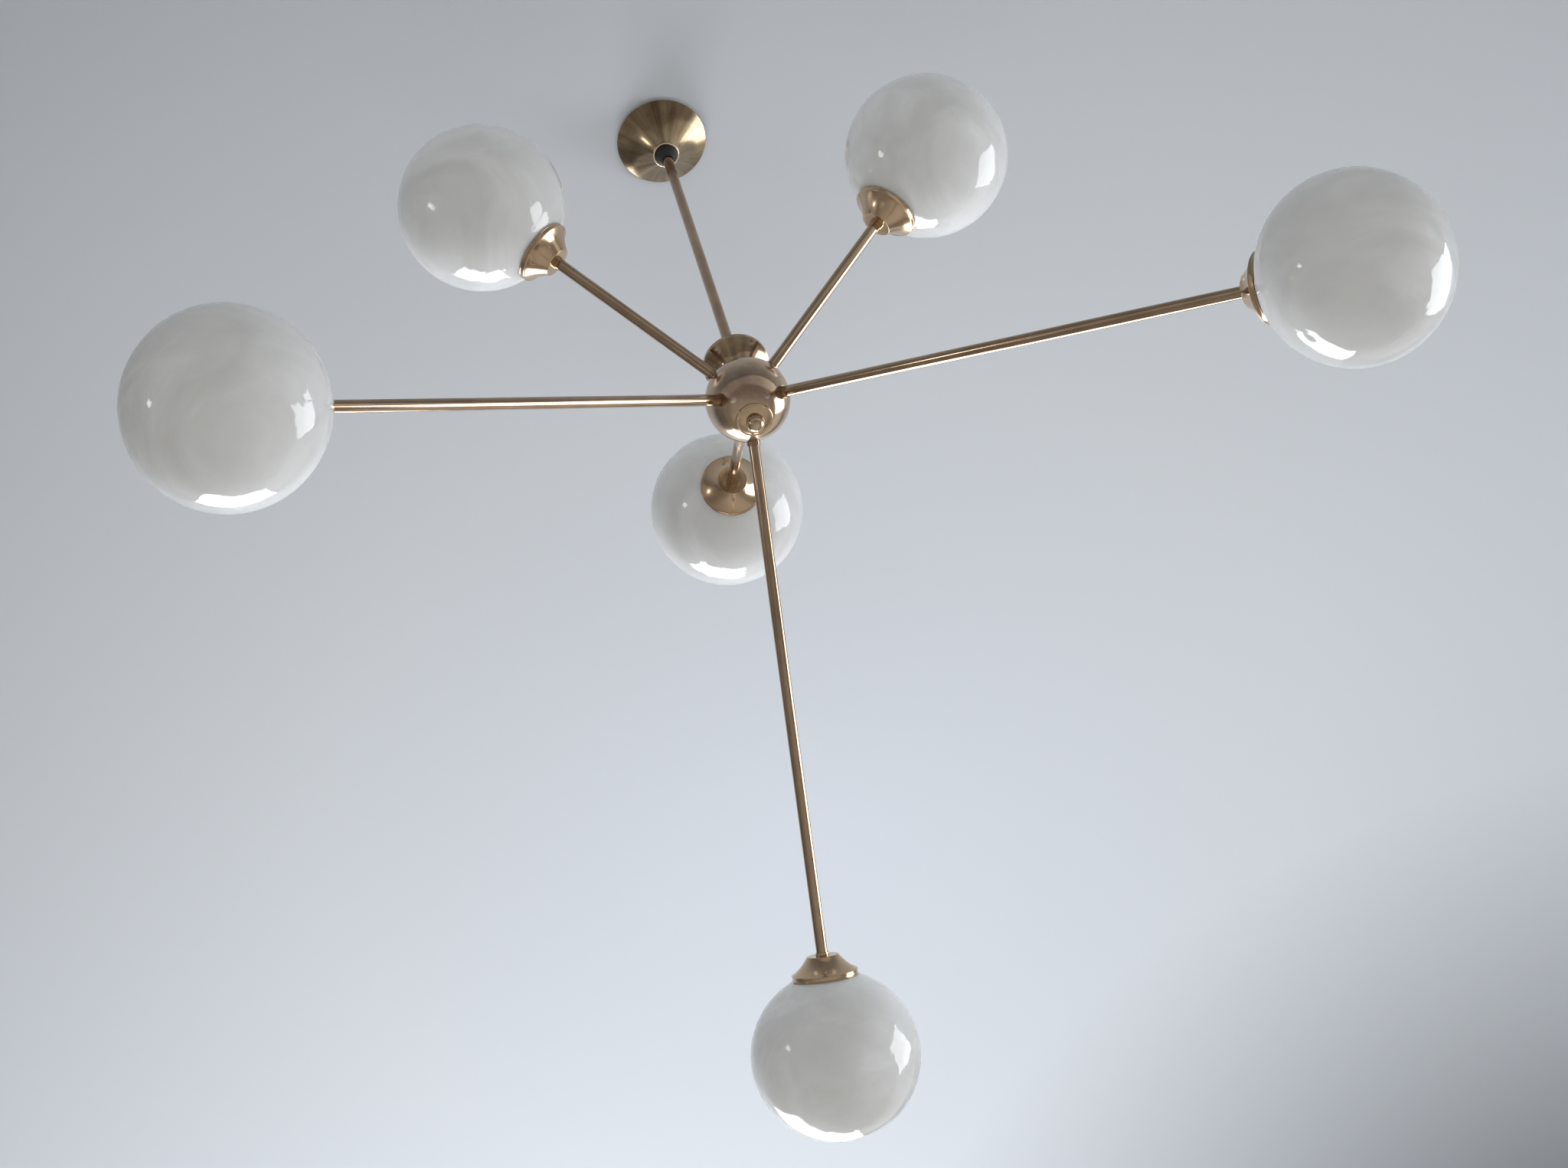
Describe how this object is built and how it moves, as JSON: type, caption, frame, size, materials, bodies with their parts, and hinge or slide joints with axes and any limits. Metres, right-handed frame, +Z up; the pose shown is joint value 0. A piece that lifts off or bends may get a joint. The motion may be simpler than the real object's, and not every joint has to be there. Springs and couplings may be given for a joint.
{
  "type": "sputnik chandelier",
  "caption": "Ceiling chandelier: opal glass globes on straight brass arms spreading from a small brass ball, hung on a stem and canopy from a ceiling hook.",
  "frame": {"origin": "middle of the ceiling plate's top face, where the chandelier meets the ceiling", "axes": "+Z up into the ceiling; the chandelier hangs along -Z; +X over the first lower and upper arm; the widest spread of the globes is along Y"},
  "size_m": [0.8704, 0.9818, 0.9462],
  "materials": {
    "brass": "polished",
    "canopy_brass": "spun, polished",
    "opal_glass": "glossy hand-blown opal",
    "bulb_glass": "frosted",
    "bulb_metal": "bare",
    "holder_plastic": "moulded",
    "terminal_plastic": "moulded",
    "rubber": "matte",
    "wire": "insulation",
    "steel": "zinc plated"
  },
  "bodies": {
    "ceiling_mount": {"ceiling_plate": "steel", "ceiling_hook": "steel"},
    "bail": {"hanging_bail": "steel"},
    "frame": {"stem_clevis": "brass", "stem_tube": "brass", "hub_cup": "brass", "cup_spacer": "brass", "hub_ball": "brass", "stem_nuts": "steel", "wiring_yoke": "steel", "finial_rod": "steel", "rod_nuts": "steel", "canopy_terminal_block": "terminal_plastic", "hub_terminal_block": "terminal_plastic", "supply_wires": "wire", "arm_wires": "wire", "arm_root_collars": "brass", "arm_root_nuts": "steel", "arm_end_collars": "brass", "bulb_caps": "bulb_metal", "lower_arm_1": "brass", "lower_cap_1": "brass", "lower_holder_1": "holder_plastic", "lower_bulb_1": "bulb_glass", "upper_arm_1": "brass", "upper_cap_1": "brass", "upper_holder_1": "holder_plastic", "upper_bulb_1": "bulb_glass", "lower_arm_2": "brass", "lower_cap_2": "brass", "lower_holder_2": "holder_plastic", "lower_bulb_2": "bulb_glass", "upper_arm_2": "brass", "upper_cap_2": "brass", "upper_holder_2": "holder_plastic", "upper_bulb_2": "bulb_glass", "lower_arm_3": "brass", "lower_cap_3": "brass", "lower_holder_3": "holder_plastic", "lower_bulb_3": "bulb_glass", "upper_arm_3": "brass", "upper_cap_3": "brass", "upper_holder_3": "holder_plastic", "upper_bulb_3": "bulb_glass"},
    "grommet": {"canopy_grommet": "rubber"},
    "canopy": {"canopy": "canopy_brass"},
    "dome": {"finial_dome": "brass"},
    "knob": {"finial_knob": "brass"},
    "lower_seal_body_1": {"lower_seal_1": "rubber"},
    "lower_globe_body_1": {"lower_globe_1": "opal_glass"},
    "upper_seal_body_1": {"upper_seal_1": "rubber"},
    "upper_globe_body_1": {"upper_globe_1": "opal_glass"},
    "lower_seal_body_2": {"lower_seal_2": "rubber"},
    "lower_globe_body_2": {"lower_globe_2": "opal_glass"},
    "upper_seal_body_2": {"upper_seal_2": "rubber"},
    "upper_globe_body_2": {"upper_globe_2": "opal_glass"},
    "lower_seal_body_3": {"lower_seal_3": "rubber"},
    "lower_globe_body_3": {"lower_globe_3": "opal_glass"},
    "upper_seal_body_3": {"upper_seal_3": "rubber"},
    "upper_globe_body_3": {"upper_globe_3": "opal_glass"}
  },
  "joints": [
    {"name": "swing_across", "type": "hinge", "parent": "ceiling_mount", "child": "bail", "pos_m": [0, 0, -0.0164], "axis": [1, 0, 0], "range_deg": [-3, 3]},
    {"name": "swing_along", "type": "hinge", "parent": "bail", "child": "frame", "pos_m": [0, 0, -0.0285], "axis": [0, 1, 0], "range_deg": [-3, 3]},
    {"name": "canopy_slide", "type": "slide", "parent": "frame", "child": "grommet", "axis": [0, 0, -1], "range_m": [0, 0.42]},
    {"name": "canopy_turn", "type": "hinge", "parent": "grommet", "child": "canopy", "pos_m": [0, 0, -0.037], "axis": [0, 0, 1], "continuous": true},
    {"name": "finial_slide", "type": "slide", "parent": "frame", "child": "dome", "axis": [0, 0, -1], "range_m": [0, 0.0061]},
    {"name": "finial_turn", "type": "hinge", "parent": "dome", "child": "knob", "pos_m": [0, 0, -0.587], "axis": [0, 0, 1], "range_deg": [0, 2160]},
    {"name": "lower_globe_slide_1", "type": "slide", "parent": "frame", "child": "lower_seal_body_1", "axis": [0.8281, 0, -0.5606], "range_m": [0, 0.00401]},
    {"name": "lower_globe_turn_1", "type": "hinge", "parent": "lower_seal_body_1", "child": "lower_globe_body_1", "pos_m": [0.48028, 0, -0.87117], "axis": [0.8281, 0, -0.5606], "range_deg": [0, 360]},
    {"name": "upper_globe_slide_1", "type": "slide", "parent": "frame", "child": "upper_seal_body_1", "axis": [0.7727, 0, 0.6347], "range_m": [0, 0.00401]},
    {"name": "upper_globe_turn_1", "type": "hinge", "parent": "upper_seal_body_1", "child": "upper_globe_body_1", "pos_m": [0.23646, 0, -0.35177], "axis": [0.7727, 0, 0.6347], "range_deg": [0, 360]},
    {"name": "lower_globe_slide_2", "type": "slide", "parent": "frame", "child": "lower_seal_body_2", "axis": [-0.414, 0.7171, -0.5606], "range_m": [0, 0.00401]},
    {"name": "lower_globe_turn_2", "type": "hinge", "parent": "lower_seal_body_2", "child": "lower_globe_body_2", "pos_m": [-0.24014, 0.41593, -0.87117], "axis": [-0.414, 0.7171, -0.5606], "range_deg": [0, 360]},
    {"name": "upper_globe_slide_2", "type": "slide", "parent": "frame", "child": "upper_seal_body_2", "axis": [-0.3864, 0.6692, 0.6347], "range_m": [0, 0.00401]},
    {"name": "upper_globe_turn_2", "type": "hinge", "parent": "upper_seal_body_2", "child": "upper_globe_body_2", "pos_m": [-0.11823, 0.20478, -0.35177], "axis": [-0.3864, 0.6692, 0.6347], "range_deg": [0, 360]},
    {"name": "lower_globe_slide_3", "type": "slide", "parent": "frame", "child": "lower_seal_body_3", "axis": [-0.414, -0.7171, -0.5606], "range_m": [0, 0.00401]},
    {"name": "lower_globe_turn_3", "type": "hinge", "parent": "lower_seal_body_3", "child": "lower_globe_body_3", "pos_m": [-0.24014, -0.41593, -0.87117], "axis": [-0.414, -0.7171, -0.5606], "range_deg": [0, 360]},
    {"name": "upper_globe_slide_3", "type": "slide", "parent": "frame", "child": "upper_seal_body_3", "axis": [-0.3864, -0.6692, 0.6347], "range_m": [0, 0.00401]},
    {"name": "upper_globe_turn_3", "type": "hinge", "parent": "upper_seal_body_3", "child": "upper_globe_body_3", "pos_m": [-0.11823, -0.20478, -0.35177], "axis": [-0.3864, -0.6692, 0.6347], "range_deg": [0, 360]}
  ],
  "couplings": [
    {"joint": "finial_slide", "follows": "finial_turn", "m_per_rad": 0.00015915},
    {"joint": "lower_globe_slide_1", "follows": "lower_globe_turn_1", "m_per_rad": 0.00063662},
    {"joint": "upper_globe_slide_1", "follows": "upper_globe_turn_1", "m_per_rad": 0.00063662},
    {"joint": "lower_globe_slide_2", "follows": "lower_globe_turn_2", "m_per_rad": 0.00063662},
    {"joint": "upper_globe_slide_2", "follows": "upper_globe_turn_2", "m_per_rad": 0.00063662},
    {"joint": "lower_globe_slide_3", "follows": "lower_globe_turn_3", "m_per_rad": 0.00063662},
    {"joint": "upper_globe_slide_3", "follows": "upper_globe_turn_3", "m_per_rad": 0.00063662}
  ]
}
